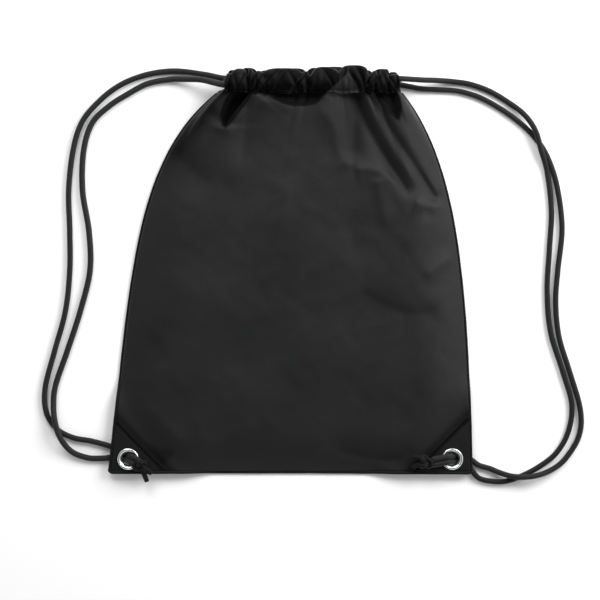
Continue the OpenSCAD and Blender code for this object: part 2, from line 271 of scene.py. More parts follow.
@dataclass(frozen=True)
class NylonFinish:
    """Plain-weave nylon with a soft sheen, and painted shade: its base colour and the tint of its reflection
    are darkened where the stored painted-shade mask is high.

    UV coordinates are the cloth's own, in metres.
    """

    name: str
    dark: tuple[float, float, float] = (0.0082, 0.0084, 0.0089)
    light: tuple[float, float, float] = (0.0116, 0.0118, 0.0124)
    roughness: float = 0.47
    specular: float = 0.17
    # Colour and reflection factor at full painted shade.
    hollow_shade: float = 0.12
    thread: float = 0.45 * MM
    weave_depth: float = 0.05 * MM
    crumple_depth: float = 0.35 * MM
    sheen: float = 0.06

    def build(self) -> Graph:
        """Makes the material.

        Returns:
            The material's graph.
        """
        g = Graph(self.name)
        uv = g.add("ShaderNodeTexCoord").outputs["UV"]
        parts = g.add("ShaderNodeSeparateXYZ", {0: uv}).outputs
        turn = 2 * math.pi / self.thread
        warp, weft = (g.math("SINE", g.math("MULTIPLY", part, turn)) for part in parts[:2])
        cloud = g.noise(uv, 16.0, 5.0, 0.55)
        slub = g.add("ShaderNodeMapping", {"Vector": uv, "Scale": (500.0, 2600.0, 1.0)}).outputs[0]
        tone = g.math("ADD", g.math("MULTIPLY", cloud, 0.75),
                      g.math("MULTIPLY", g.noise(slub, 1.0, 2.0), 0.25))
        # Painted shade: a stored per-vertex mask scales the base colour down and tints the reflection darker,
        # standing in for shade in folds, pockets, under the hem and on the flank turned from the light.
        hollow = g.add("ShaderNodeAttribute", attribute_name="hollow").outputs["Fac"]
        shade = g.span(hollow, (0.0, 1.0, 1.0, self.hollow_shade))
        colour = g.ramp(tone, ((0.32, self.dark), (0.68, self.light)))
        fine = g.bump(g.math("MULTIPLY", warp, weft), self.weave_depth, 0.5)
        crumple = g.noise(uv, 62.0, 4.0, 0.5, 0.7)
        return g.shade({
            "Base Color": g.add("ShaderNodeVectorMath", {0: colour, "Scale": shade},
                                operation="SCALE").outputs[0],
            "Specular IOR Level": self.specular,
            "Specular Tint": g.add("ShaderNodeCombineXYZ", {0: shade, 1: shade, 2: shade}).outputs[0],
            "Roughness": g.span(cloud, (0.3, 0.7, self.roughness - 0.05, self.roughness + 0.06)),
            "Normal": g.bump(crumple, self.crumple_depth, 0.8, Normal=fine),
            "Sheen Weight": self.sheen,
            "Sheen Roughness": 0.4})


@dataclass(frozen=True)
class BraidFinish:
    """Braided cord, with painted shade: the gaps between its yarns are coloured far darker than the yarn
    tops. The UV's U runs round the cord and V along it, in braid repeats.
    """

    name: str
    dark: tuple[float, float, float] = (0.0012, 0.0012, 0.0014)
    light: tuple[float, float, float] = (0.0145, 0.0148, 0.0155)
    roughness: float = 0.62
    specular: float = 0.2
    sheen: float = 0.08

    def build(self) -> Graph:
        """Makes the material.

        Returns:
            The material's graph.
        """
        g = Graph(self.name)
        lift = g.add("ShaderNodeAttribute", attribute_name="braid_lift").outputs["Fac"]
        uv = g.add("ShaderNodeTexCoord").outputs["UV"]
        strand = g.add("ShaderNodeMapping", {"Vector": uv, "Scale": (9.0, 9.0, 1.0)}).outputs[0]
        hair = g.noise(strand, 3.0, 3.0)
        # Painted shade: the tone follows how high each yarn stands, so the gaps come out dark.
        tone = g.math("ADD", g.math("MULTIPLY", lift, 0.8), g.math("MULTIPLY", hair, 0.25))
        return g.shade({
            "Base Color": g.ramp(tone, ((0.1, self.dark), (0.9, self.light))),
            "Roughness": g.math("ADD", g.math("MULTIPLY", hair, 0.16), self.roughness - 0.08),
            "Normal": g.bump(hair, 0.12 * MM, 0.5),
            "Sheen Weight": self.sheen,
            "Specular IOR Level": self.specular,
            "Sheen Roughness": 0.5})


@dataclass(frozen=True)
class NickelFinish:
    """Bright nickel plate, scuffed."""

    name: str = "nickel_plate"
    colour: tuple[float, float, float] = (0.86, 0.87, 0.88)

    def build(self) -> Graph:
        """Makes the material.

        Returns:
            The material's graph.
        """
        g = Graph(self.name)
        scuff = g.noise(g.add("ShaderNodeTexCoord").outputs["Object"], 900.0, 4.0, 0.7)
        worn = tuple(c * 0.82 for c in self.colour)
        return g.shade({
            "Base Color": g.ramp(scuff, ((0.35, worn), (0.6, self.colour))),
            "Roughness": g.span(scuff, (0.3, 0.75, 0.16, 0.34)),
            "Normal": g.bump(scuff, 0.02 * MM, 0.4),
            "Metallic": 1.0})


@dataclass(frozen=True)
class ThreadFinish:
    """Twisted sewing thread, with painted shade in the grooves of its twist."""

    name: str = "sewing_thread"
    dark: tuple[float, float, float] = (0.003, 0.003, 0.0035)
    light: tuple[float, float, float] = (0.010, 0.010, 0.011)

    def build(self) -> Graph:
        """Makes the material.

        Returns:
            The material's graph.
        """
        g = Graph(self.name)
        place = g.add("ShaderNodeTexCoord").outputs["Object"]
        waves = {"Vector": place, "Scale": 900.0, "Distortion": 2.0, "Detail": 2.0}
        twist = g.add("ShaderNodeTexWave", waves, bands_direction="DIAGONAL").outputs[1]
        # Painted shade: the colour is darker where the twist's relief is low.
        return g.shade({
            "Base Color": g.ramp(twist, ((0.2, self.dark), (0.9, self.light))),
            "Normal": g.bump(twist, 0.06 * MM, 0.6),
            "Roughness": 0.6,
            "Specular IOR Level": 0.25})


# ---------------------------------------------------------------- mesh helpers


def finish_mesh(name: str, bm: BMesh) -> Object:
    """Turns a bmesh into a smooth-shaded object at the origin.

    Args:
        name: the piece's name.
        bm: the mesh; it is freed.

    Returns:
        The object.
    """
    mesh = bpy.data.meshes.new(name)
    bm.to_mesh(mesh)
    bm.free()
    obj = bpy.data.objects.new(name, mesh)
    bpy.context.scene.collection.objects.link(obj)
    mesh.polygons.foreach_set("use_smooth", [True] * len(mesh.polygons))
    return obj


def lattice(rows: int, columns: int) -> tuple[BMesh, Array, Array]:
    """A flat grid of quads, ready to be shaped.

    Args:
        rows: quads along.
        columns: quads across.

    Returns:
        The mesh, and each vertex's place across and along, 0 to 1.
    """
    bm = bmesh.new()
    bmesh.ops.create_grid(bm, x_segments=columns, y_segments=rows, size=0.5)
    across = np.array([v.co.x + 0.5 for v in bm.verts])
    along = np.array([v.co.y + 0.5 for v in bm.verts])
    return bm, across, along


def place(bm: BMesh, spots: Array) -> None:
    """Moves the mesh's vertices to the given places, in millimetres."""
    for vertex, spot in zip(bm.verts, spots * MM):
        vertex.co = spot


def write_uv(bm: BMesh, uv: Array) -> None:
    """Stores one UV pair for each vertex."""
    layer = bm.loops.layers.uv.new("UVMap")
    bm.verts.index_update()
    for face in bm.faces:
        for loop in face.loops:
            loop[layer].uv = uv[loop.vert.index]


def lengths(line: Array) -> Array:
    """Distance along a line at each of its points."""
    return np.concatenate([[0], np.cumsum(np.linalg.norm(np.diff(line, axis=0), axis=1))])


def sweep(line: Array, sideways: Array, upward: Array, uv_scale: Spot,
          lift: Array) -> BMesh:
    """A closed tube along a line, with capped ends.

    Args:
        line: the centre line, in millimetres.
        sideways: how far each of a ring's points stands to the side, one row for each ring.
        upward: how far each stands upwards.
        uv_scale: UV units round the tube, and along it for each millimetre.
        lift: a value for each point, kept as the attribute braid_lift.

    Returns:
        The mesh.
    """
    rings, sides = lift.shape
    tangent = np.gradient(line, axis=0)
    tangent /= np.linalg.norm(tangent, axis=1)[:, None]
    side = np.zeros_like(line)
    side[0] = np.cross((0.0, 0.0, 1.0), tangent[0])
    side[0] /= np.linalg.norm(side[0])
    for i in range(1, rings):
        turned = side[i - 1] - tangent[i] * np.dot(side[i - 1], tangent[i])
        side[i] = turned / np.linalg.norm(turned)
    up = np.cross(tangent, side)
    bm, across, along = lattice(rings - 1, sides)
    i = np.rint(along * (rings - 1)).astype(int)
    k = np.rint(across * sides).astype(int) % sides
    place(bm, line[i] + side[i] * sideways[i, k, None] + up[i] * upward[i, k, None])
    write_uv(bm, np.column_stack([across * uv_scale[0], lengths(line)[i] * uv_scale[1]]))
    layer = bm.verts.layers.float.new("braid_lift")
    for vertex, value in zip(bm.verts, lift[i, k]):
        vertex[layer] = value
    bmesh.ops.remove_doubles(bm, verts=bm.verts, dist=1e-7)
    bmesh.ops.holes_fill(bm, edges=[e for e in bm.edges if e.is_boundary], sides=sides)
    bmesh.ops.recalc_face_normals(bm, faces=bm.faces)
    return bm


def thicken(obj: Object, thickness: float, offset: float) -> None:
    """Gives a sheet its thickness, in millimetres, and applies it.

    Args:
        obj: the sheet.
        thickness: how thick it becomes.
        offset: -1 grows it behind its faces, 1 in front of them.
    """
    modifier = obj.modifiers.new("thickness", "SOLIDIFY")
    modifier.thickness = thickness * MM
    modifier.offset = offset
    modifier.use_even_offset = False
    apply_modifiers(obj)


def settle(obj: Object, finish: Graph, slot: str, *nodes: str) -> Object:
    """Dresses a piece that rides on the bag, and reports it.

    Args:
        obj: the piece.
        finish: its material's graph.
        slot: the record's material slot; not used.
        nodes: the CAD nodes that it stands for.

    Returns:
        The piece.
    """
    finish.dress(obj)
    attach(obj, "bag")
    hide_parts(*nodes)
    LOG.info("%s: %d vertices", obj.name, len(obj.data.vertices))
    return obj


def apply_modifiers(obj: Object) -> None:
    """Replaces the object's mesh with its evaluated one."""
    graph = bpy.context.evaluated_depsgraph_get()
    mesh = bpy.data.meshes.new_from_object(obj.evaluated_get(graph))
    obj.modifiers.clear()
    obj.data = mesh


# ---------------------------------------------------------------- the bag's outline


@dataclass(frozen=True)
class Outline:
    """Outline of the bag as it lies, in millimetres, with the same curves as the CAD panels."""

    bottom: float = -190.0
    neck: float = 166.0
    half_width: float = 171.0
    length: float = 356.0
    edge_y: tuple[float, ...] = (-190, 0, 104, 166)
    left_x: tuple[float, ...] = (-171, -150, -147, -70)
    right_x: tuple[float, ...] = (171, 168, 156, 106)
    patch_w: float = 57.0
    patch_h: float = 58.0

    def side(self, y: Array, control: tuple[float, ...]) -> Array:
        """Place of a side edge at each y; above the neck it is the neck's."""
        t = np.linspace(0, 1, 400)
        return np.interp(y, bezier(self.edge_y, t), bezier(control, t))

    def left(self, y: Array) -> Array:
        """Left edge at each y."""
        return self.side(y, self.left_x)

    def right(self, y: Array) -> Array:
        """Right edge at each y."""
        return self.side(y, self.right_x)

    def past_patch_edge(self, x: Array, y: Array) -> Array:
        """Distance past a corner patch's diagonal edge, towards the corner."""
        over = (np.abs(x) - self.half_width + self.patch_w) * self.patch_h
        return (over - (y - self.bottom) * self.patch_w) / math.hypot(self.patch_w, self.patch_h)


class Side(Enum):
    """A side of the bag as it is seen from above, with the sign of its X."""

    LEFT = -1
    RIGHT = 1

    def named(self, piece: str) -> str:
        """The piece's name on this side."""
        return f"{self.name.lower()}_{piece}"


class Layer(Enum):
    """The bag's two walls."""

    BACK = "back"
    FRONT = "front"

    def named(self, piece: str) -> str:
        """The piece's name in this wall."""
        return f"{self.value}_{piece}"


OUTLINE = Outline()
EYELET: Spot = (151.5, -176.5)
EYELET_HOLE = 7.4
STITCH_PITCH = 3.0
SEAM_INSET = 1.6


# ---------------------------------------------------------------- cords


@dataclass(frozen=True)
class Braid:
    """How a round braid is wound: vertices round it, yarns each way, one turn's length, their relief."""

    sides: int = 20
    strands: int = 8
    repeat: float = 7.6
    relief: float = 0.34


@dataclass
class Drawcord:
    """One braided drawcord, from its knot through an eyelet, both strands and both channels."""

    side: Side
    route: list[Point]
    hinge_from: Spot
    hinge_to: Spot
    outward: Spot
    finish: Graph
    parts: tuple[str, ...] = ("cord_in_channel", "cord_end", "strap_outer_strand", "strap_inner_strand")
    braid: Braid = Braid()
    diameter: float = 5.0
    swell: float = 1.06
    ring_pitch: float = 0.95
    blend_reach: float = 15.0

    def build(self, knot: Object) -> Object:
        """Args:
            knot: the knot that its ends are tied in; not used.

        Returns:
            The cord.
        """
        line = spline(self.route, self.ring_pitch)
        obj = braided_tube(self.side.named("drawcord"), line, self.diameter / 2 * self.swell, self.braid)
        self.finish.dress(obj)
        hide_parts(*map(self.side.named, self.parts))
        self.side.named("strap")
        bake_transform(obj)
        return obj


def braided_tube(name: str, line: Array, radius: float, braid: Braid) -> Object:
    """A round braid swept along a line.

    Args:
        name: the piece's name.
        line: the centre line, in millimetres.
        radius: the braid's radius.
        braid: how it is wound.

    Returns:
        The tube, with the attribute braid_lift from 0 in the gaps to 1 on the yarns.
    """
    angle = 2 * math.pi * np.arange(braid.sides) / braid.sides
    turn = lengths(line)[:, None] * 2 * math.pi / braid.repeat
    one = braid.strands / 2 * (angle[None] + turn)
    two = braid.strands / 2 * (angle[None] - turn)
    over = np.cos(one / 2) ** 2 * (0.5 + 0.5 * np.sin(two))
    under = np.cos(two / 2) ** 2 * (0.5 - 0.5 * np.sin(one))
    lift = np.clip(np.maximum(over, under) * 1.25, 0, 1)
    r = radius + braid.relief * (lift - 0.6)
    return finish_mesh(name, sweep(line, r * np.cos(angle), r * np.sin(angle), (1.0, 1 / braid.repeat), lift))


def channel_run(near: float, far: float, back_y: float, front_y: float) -> list[Point]:
    """A cord's run through the back channel, round the far end and back through the front one.

    Args:
        near: the channels' end where the cord enters.
        far: their other end.
        back_y: the cord's lane in the back channel.
        front_y: its lane in the front channel.

    Returns:
        Points along it.
    """
    low, high = BACK_CORD_Z, FRONT_CORD_Z
    away = math.copysign(1, near - far)
    points: list[Point] = [(near + 12 * away, back_y, low)]
    points += [(near + (far - near) * i / 4, back_y, low) for i in range(5)]
    for i in range(1, 8):
        a = math.radians(180 * i / 8 - 90)
        part = (1 + math.sin(a)) / 2
        points.append((far - away * 10 * math.cos(a), back_y + (front_y - back_y) * part,
                       low + (high - low) * part))
    points += [(far + (near - far) * i / 4, front_y, high) for i in range(5)]
    points.append((near + 12 * away, front_y, high))
    return points


# ---------------------------------------------------------------- studio


@dataclass(frozen=True)
class Studio:
    """Camera straight above the bag, a white floor and soft lights.

    surround holds, for X, Y and Z, the span of a direction and the brightness at its two ends.
    """

    centre: Spot = (9.1, -27.9)
    field_mm: float = 564.0
    lens: float = 100.0
    sensor: float = 36.0
    surround: tuple[tuple[float, float, float, float], ...] = (
        (-0.6, 0.75, 0.64, 1.14), (-0.7, 0.7, 0.9, 1.08), (0.5, 0.93, 1.0, 0.18))
    floor_white: float = 0.965
    softboxes: tuple[tuple[str, Point, float], ...] = (
        ("key_light", (0.86, 0.6, 0.7), 15.0), ("top_light", (-0.35, 0.9, 0.9), 9.5))
    softbox_side: float = 0.7

    def build(self) -> None:
        """Sets up the camera, the floor, the world and the lights."""
        scene = bpy.context.scene
        camera = bpy.data.cameras.new("camera")
        camera.lens = self.lens
        camera.sensor_width = self.sensor
        camera.clip_end = 20
        obj = bpy.data.objects.new("camera", camera)
        distance = self.field_mm * self.lens / self.sensor
        obj.location = (self.centre[0] * MM, self.centre[1] * MM, distance * MM)
        scene.collection.objects.link(obj)
        scene.camera = obj
        scene.view_settings.view_transform = "Standard"
        scene.view_settings.look = "None"
        self.floor()
        self.world()
        for name, at, power in self.softboxes:
            self.softbox(name, at, power)

    def floor(self) -> None:
        """A large matt white floor."""
        bm = bmesh.new()
        bmesh.ops.create_grid(bm, x_segments=1, y_segments=1, size=4)
        floor = finish_mesh("floor", bm)
        looks = {"Base Color": (*[self.floor_white] * 3, 1), "Roughness": 0.9, "Specular IOR Level": 0.1}
        Graph("white_floor").shade(looks).dress(floor)

    def world(self) -> None:
        """A surround that is brightest low down on the right, dim on the left and dark overhead."""
        world = bpy.data.worlds.new("studio")
        world.use_nodes = True
        nodes = Nodes(world.node_tree)
        way = nodes.add("ShaderNodeTexCoord").outputs["Generated"]
        parts = nodes.add("ShaderNodeSeparateXYZ", {0: way}).outputs
        level: float | Socket = 1.0
        for part, ends in zip(parts, self.surround):
            level = nodes.math("MULTIPLY", level, nodes.span(part, ends, interpolation_type="SMOOTHSTEP"))
        nodes.feed(nodes.tree.nodes["Background"], {"Strength": level, "Color": (1, 1, 1, 1)})
        bpy.context.scene.world = world

    def softbox(self, name: str, at: Point, power: float) -> None:
        """A square area light aimed at the bag.

        Args:
            name: the light's name.
            at: where it stands, in metres.
            power: its watts.
        """
        light = bpy.data.lights.new(name, "AREA")
        light.size = self.softbox_side
        light.energy = power
        obj = bpy.data.objects.new(name, light)
        obj.location = at
        obj.rotation_euler = (-Vector(at)).to_track_quat("-Z", "Y").to_euler()
        bpy.context.scene.collection.objects.link(obj)


# ---------------------------------------------------------------- folds and gathers


@dataclass(frozen=True)
class Fold:
    """A crease along a curve: a ridge where its height is above zero, a valley below.

    left and right are how far its slopes reach on either side, seen along the curve.
    """

    line: tuple[Spot, ...]
    height: float
    left: float
    right: float
    fade: Spot = (0.2, 0.3)
    crisp: float = 1.5

    def relief(self, x: Array, y: Array) -> Array:
        """Height that the crease adds at each place."""
        path = spline([(*p, 0) for p in self.line], 6.0)[:, :2]
        run = lengths(path)
        best = np.full(x.shape, np.inf)
        at = np.zeros_like(best)
        side = np.zeros_like(best)
        for i, (a, b) in enumerate(zip(path, path[1:])):
            d = b - a
            t = np.clip(((x - a[0]) * d[0] + (y - a[1]) * d[1]) / (d @ d), 0, 1)
            gap = np.hypot(x - a[0] - t * d[0], y - a[1] - t * d[1])
            near = gap < best
            best = np.where(near, gap, best)
            at = np.where(near, (run[i] + t * (run[i + 1] - run[i])) / run[-1], at)
            side = np.where(near, d[0] * (y - a[1]) - d[1] * (x - a[0]), side)
        taper = ease(at / max(self.fade[0], 1e-3)) * ease((1 - at) / max(self.fade[1], 1e-3))
        width = np.where(side > 0, self.left, self.right)
        slope = (np.sqrt(best ** 2 + self.crisp ** 2) - self.crisp) / width
        return self.height * taper * np.exp(-slope ** 1.25)


@dataclass(frozen=True)
class Pocket:
    """A pocket between pleats, with a rim that falls over a short distance, and painted shade inside it."""

    rim: tuple[Spot, ...]
    depth: float
    soft: float
    shade: float
    shade_soft: float = 3.0

    def inset(self, x: Array, y: Array) -> Array:
        """How far inside the rim each place is, negative outside."""
        inside = np.zeros(x.shape, bool)
        gap = np.full(x.shape, np.inf)
        rim = spline([(*p, 0) for p in self.rim + self.rim[:1]], 4.0)[:, :2]
        for (ax, ay), (bx, by) in zip(rim, rim[1:]):
            dx, dy = bx - ax, by - ay
            t = np.clip(((x - ax) * dx + (y - ay) * dy) / (dx * dx + dy * dy), 0, 1)
            gap = np.minimum(gap, np.hypot(x - ax - t * dx, y - ay - t * dy))
            if dy:
                crosses = ((ay > y) != (by > y)) & (x < ax + (y - ay) / dy * dx)
                inside ^= crosses
        return np.where(inside, gap, -gap)

    def relief(self, x: Array, y: Array) -> Array:
        """Height that the pocket adds at each place, never above zero."""
        return -self.depth * ease(self.inset(x, y) / self.soft)

    def dark(self, x: Array, y: Array) -> Array:
        """How much painted shade the pocket puts at each place, 0 to 1."""
        return self.shade * ease(self.inset(x, y) / self.shade_soft + 0.5)


def lobe_place(x: Array, left: float, right: float) -> Array:
    """Places from -1 at a lobe's left end to 1 at its right one."""
    return (x - (left + right) / 2) / ((right - left) / 2)


@dataclass(frozen=True)
class Gather:
    """How the drawn-up mouth bunches: lobes of cloth between tight pinches.

    Each lobe is its left end, its right end and how far up the bag its top reaches.
    """

    lobes: tuple[Point, ...]
    seed: int
    pinch_y: float = 180.3
    pleat: float = 2.6
    pucker: float = 0.16

    def bulge(self, x: Array) -> Array:
        """0 in the pinches to 1 in the middle of a lobe."""
        total = np.zeros_like(x, dtype=float)
        for left, right, _ in self.lobes:
            total = np.maximum(total, np.sqrt(np.clip(1 - lobe_place(x, left, right) ** 2, 0, 1)))
        return total

    def top(self, x: Array) -> Array:
        """How far up the bag the cloth reaches."""
        total = np.full(x.shape, self.pinch_y)
        for left, right, high in self.lobes:
            rise = np.clip(1 - np.abs(lobe_place(x, left, right)) ** 3, 0, 1) ** 0.5
            total = np.maximum(total, self.pinch_y + (high - self.pinch_y) * rise)
        return total

    def wide(self, x: Array) -> Array:
        """Height of the lobes alone along the stitch row, below zero in the pinches."""
        return self.pleat * (1.6 * self.bulge(x) - 0.95)

    def tuck(self, x: Array) -> Array:
        """Height of the pleats along the stitch row."""
        draw = np.random.default_rng(self.seed)
        fine = np.zeros_like(x, dtype=float)
        for _ in range(5):
            fine += np.sin(x * 2 * math.pi / draw.uniform(4.2, 9.6) + draw.uniform(0, 6.28))
        return self.wide(x) + self.pucker * fine


MOUTH_GATHER = {
    Layer.FRONT: Gather(((-63.5, -56, 182), (-57, -39, 186.6), (-37.5, -31, 187), (-30, -22.5, 184.5),
                         (-23, 8.5, 187), (7.5, 15, 184), (18, 48.5, 188.2), (48, 70.5, 189.8),
                         (72.5, 78, 184.5), (79.5, 91, 186.2), (91.5, 102.5, 181.5)), seed=3),
    Layer.BACK: Gather(((-63, -48, 188), (-48, -27, 190), (-26, -12, 187.5), (-12, 12, 189.5),
                        (12, 31, 190), (32, 58, 191), (59, 74, 188), (74, 92, 189), (91, 103, 186)),
                       seed=8, pinch_y=183.2, pleat=0.9, pucker=0.15)}


FRONT_FOLDS: tuple[Fold, ...] = (
    Fold(((-31, 166), (-45, 150), (-58, 132)), 2.4, 16, 3.5, (0.05, 0.35)),
    Fold(((-58, 137), (-58.5, 105), (-57, 72)), 2.2, 14, 14, (0.1, 0.5), 2.0),
    Fold(((-33, 165), (-20.7, 159), (-8, 152.5), (4.4, 150), (23, 152), (34, 164)), 0.7, 4, 14, (0.05, 0.05)),
    Fold(((-35, 160), (-41, 128), (-46, 84)), -2.4, 20, 6, (0.15, 0.5), 2.0),
    Fold(((2, 92), (-6, 60), (-17, 26)), 1.5, 8, 9, (0.3, 0.4), 2.5),
    Fold(((57, 172), (60, 150), (60, 124), (58, 94)), -5.2, 8, 14, (0.05, 0.25)),
    Fold(((23, 154), (39, 137), (46, 111), (58, 93)), 2.0, 14, 6, (0.2, 0.15), 2.0),
    Fold(((58, 93), (70, 94.5), (83, 91), (98, 81), (112, 66)), 2.4, 5, 8, (0.1, 0.2)),
    Fold(((59, 173), (65.5, 150), (79, 122), (112, 66)), -4.6, 5, 5, (0.03, 0.1)),
    Fold(((72, 166), (76, 147), (90, 120), (119, 76)), 1.7, 5, 3.5, (0.1, 0.15), 1.0),
    Fold(((75, 164), (86, 144), (98, 125), (117, 97), (139, 63)), -2.9, 4, 4, (0.05, 0.06), 1.0),
    Fold(((78.5, 169), (91, 146), (104, 122), (119, 99), (143, 66)), 3.4, 24, 4.5, (0.1, 0.1), 2.0),
    Fold(((113, 64), (126, 60.5), (143, 62)), 2.4, 4, 8, (0.2, 0.1)),
    Fold(((141, 63), (142, 40), (137, 22)), 1.6, 12, 7, (0.1, 0.6), 2.5),
    Fold(((63, -14), (72, -24), (86, -32), (104, -39), (122, -41), (147, -33)), -2.1, 6, 18, (0.15, 0.25)),
    Fold(((122, -9), (137, 3), (155, 14)), 1.5, 4.5, 5, (0.3, 0.2)),
    Fold(((80, 88), (85, 62), (90, 36)), 2.0, 11, 4.5, (0.15, 0.3)),
    Fold(((62, 60), (60, 30), (66, 0)), -1.2, 9, 9, (0.4, 0.4), 3.0),
    Fold(((28, -162), (60, -171), (92, -177), (116, -181)), -3.2, 9, 6, (0.3, 0.1), 2.0),
    Fold(((100, 20), (116, 34), (128, 55)), 1.3, 6, 10, (0.3, 0.3), 2.0),
    Fold(((-104, 118), (-92, 92), (-66, 76)), -1.6, 8, 12, (0.3, 0.3), 2.5),
    Fold(((-140, -60), (-126, -72), (-118, -96)), -1.0, 8, 8, (0.4, 0.4), 3.0),
    Fold(((-96, -128), (-84, -150), (-78, -176)), 1.2, 9, 9, (0.4, 0.3), 3.0),
    Fold(((-66, 150), (-92, 126), (-118, 84)), -2.6, 8, 16, (0.1, 0.4), 2.5),
    Fold(((-62, 132), (-76, 104), (-98, 62)), -2.0, 8, 18, (0.1, 0.5), 2.5),
    Fold(((108, 150), (124, 112), (140, 82)), -1.2, 6, 8, (0.2, 0.3), 2.0),
)
# Each pocket: its rim, its depth, the rim's softness, the strength of its painted shade, and that shade's
# softness where given.
FRONT_POCKETS: tuple[Pocket, ...] = (
    Pocket(((-33, 176), (-33, 165.4), (-45.5, 148), (-57.3, 133.5), (-62, 132), (-65.5, 142), (-60, 158),
            (-50, 169), (-48, 176)), 10.0, 6.0, 1.0),
    Pocket(((-31, 173), (-33, 165.4), (-20.7, 160), (-8, 153.5), (4.4, 151.2), (23, 153), (33, 163),
            (37, 174)), 5.5, 6.0, 0.85),
    Pocket(((80, 176), (97, 176), (101, 165), (103.5, 150), (101.5, 139), (98, 138), (86, 149),
            (77, 161.5), (77, 170)), 8.0, 6.5, 0.85),
    Pocket(((-133, -162), (-121, -167), (-108, -169), (-113, -176), (-119, -181)), 0.8, 5.0, 0.4, 6.0),
)


def painted_lit_wedge(x: Array, y: Array) -> Array:
    """Mask of a lit wedge painted on the front hem, standing for cloth drawn up over the hem; painted
    highlight only, 0 to 1.
    """
    low = np.clip((183 - y) / 18, 0, 1)
    return ease((mix(0.4, 14.5, low ** 1.3) - np.abs(x - mix(55.0, 49.0, low))) / 2.5 + 0.5)


# ---------------------------------------------------------------- panels


@dataclass
class Panel:
    """One wall of the bag: a sheet of nylon from the bottom seam up to the gathered mouth."""

    finish: Graph
    layer: Layer = Layer.FRONT
    columns: int = 176
    rows: int = 190
    cloth: float = 0.45
    cut: Spot = (342.0, 404.0)
    inset: float = 2.6
    lower_inset: float = 1.7
    upper_tuck: float = 1.5
    patch_z: float = 7.9
    corner_climb: Spot = (-32.0, -8.0)

    def across(self, x: Array, y: Array) -> Array:
        """How far from the left edge to the right one each place is, 0 to 1."""
        left, right = OUTLINE.left(y), OUTLINE.right(y)
        return np.clip((x - left) / (right - left), 0, 1)

    def corner(self, x: Array, y: Array) -> Array:
        """How far each place has climbed to its corner's patch, 0 to 1."""
        start, end = self.corner_climb
        return ease((OUTLINE.past_patch_edge(x, y) - start) / (end - start))

    def height(self, x: Array, y: Array) -> Array:
        """Height of the cloth's outer face at each place."""
        raise NotImplementedError

    def hollow(self, x: Array, y: Array) -> Array:
        """How much painted shade each place gets, 0 to 1; none by default."""
        return np.zeros_like(x)

    def pleats(self, x: Array, y: Array) -> Array:
        """Height of the mouth's pleats, which run down the cloth and die away."""
        gather = MOUTH_GATHER[self.layer]
        top = np.full(x.shape, OUTLINE.neck)
        start = mix(OUTLINE.left(top), OUTLINE.right(top), self.across(x, y))
        down = np.maximum(OUTLINE.neck - y, 0)
        reach = 13 + 9 * np.sin(start * 0.21) * np.sin(start * 0.057 + 1)
        wide = gather.wide(start)
        return wide * np.exp(-down / reach) + (gather.tuck(start) - wide) * np.exp(-down / 5)

    def build(self) -> Object:
        """Makes the sheet, with holes where the eyelets go through.

        Returns:
            The sheet.
        """
        bm, across, along = lattice(self.rows, self.columns)
        spread = across - 0.055 * np.sin(2 * math.pi * across) / math.pi
        y = mix(OUTLINE.bottom + self.lower_inset, OUTLINE.neck + self.upper_tuck, along)
        x = mix(OUTLINE.left(y) + self.inset, OUTLINE.right(y) - self.inset, spread)
        place(bm, np.column_stack([x, y, self.height(x, y)]))
        write_uv(bm, np.column_stack([across * self.cut[0], along * self.cut[1]]) * MM)
        write_painted_shade(bm, self.hollow(x, y))
        punch(bm)
        obj = finish_mesh(self.layer.named("wall"), bm)
        thicken(obj, self.cloth, -1.0 if self.layer is Layer.FRONT else 1.0)
        return settle(obj, self.finish, "nylon", self.layer.named("panel"))


def write_painted_shade(bm: BMesh, values: Array) -> None:
    """Stores each vertex's painted shade, 0 to 1, as a mesh attribute that the nylon finishes read."""
    layer = bm.verts.layers.float.new("hollow")
    for vertex, value in zip(bm.verts, values):
        vertex[layer] = value


def punch(bm: BMesh) -> None:
    """Removes the faces where either eyelet goes through."""
    middles = ((face, face.calc_center_median() / MM) for face in bm.faces)
    gone = [face for face, at in middles if math.hypot(abs(at.x) - EYELET[0], at.y - EYELET[1]) < EYELET_HOLE]
    bmesh.ops.delete(bm, geom=gone, context="FACES")


